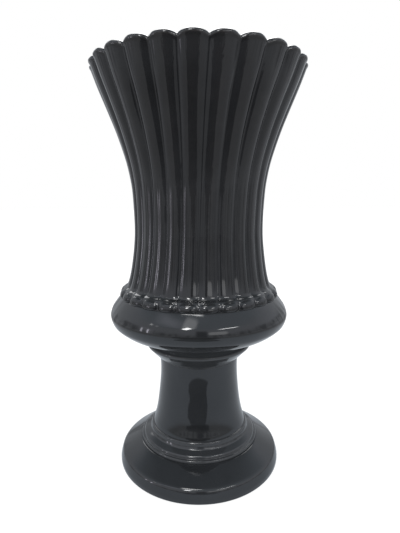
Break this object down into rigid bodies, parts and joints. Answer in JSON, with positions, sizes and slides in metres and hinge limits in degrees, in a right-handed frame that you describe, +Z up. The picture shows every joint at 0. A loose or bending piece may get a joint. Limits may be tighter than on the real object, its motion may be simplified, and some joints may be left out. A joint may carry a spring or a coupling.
{
  "type": "pedestal vase",
  "caption": "Black glazed ceramic flower vase: fluted flaring tulip with a scalloped rim on a smooth squat bowl, stepped collar, tapered stem and domed round foot.",
  "frame": {"origin": "centre of the foot at the plane of its standing ring", "axes": "+Z up along the axis of the vase, a rib crest on +X and -X, a groove on +Y and -Y"},
  "size_m": [0.1684, 0.1672, 0.33],
  "materials": {
    "tulip_glaze": "high gloss black glaze",
    "bowl_glaze": "high gloss black glaze",
    "neck_ring_glaze": "high gloss black glaze",
    "collar_ring_glaze": "high gloss black glaze",
    "stem_glaze": "high gloss black glaze",
    "foot_ring_glaze": "high gloss black glaze",
    "foot_glaze": "high gloss black glaze, bare standing ring"
  },
  "bodies": {
    "root": {"fluted_tulip": "tulip_glaze", "bowl": "bowl_glaze", "neck_ring": "neck_ring_glaze", "collar_ring": "collar_ring_glaze", "stem": "stem_glaze", "foot_ring": "foot_ring_glaze", "foot": "foot_glaze"}
  },
  "joints": []
}
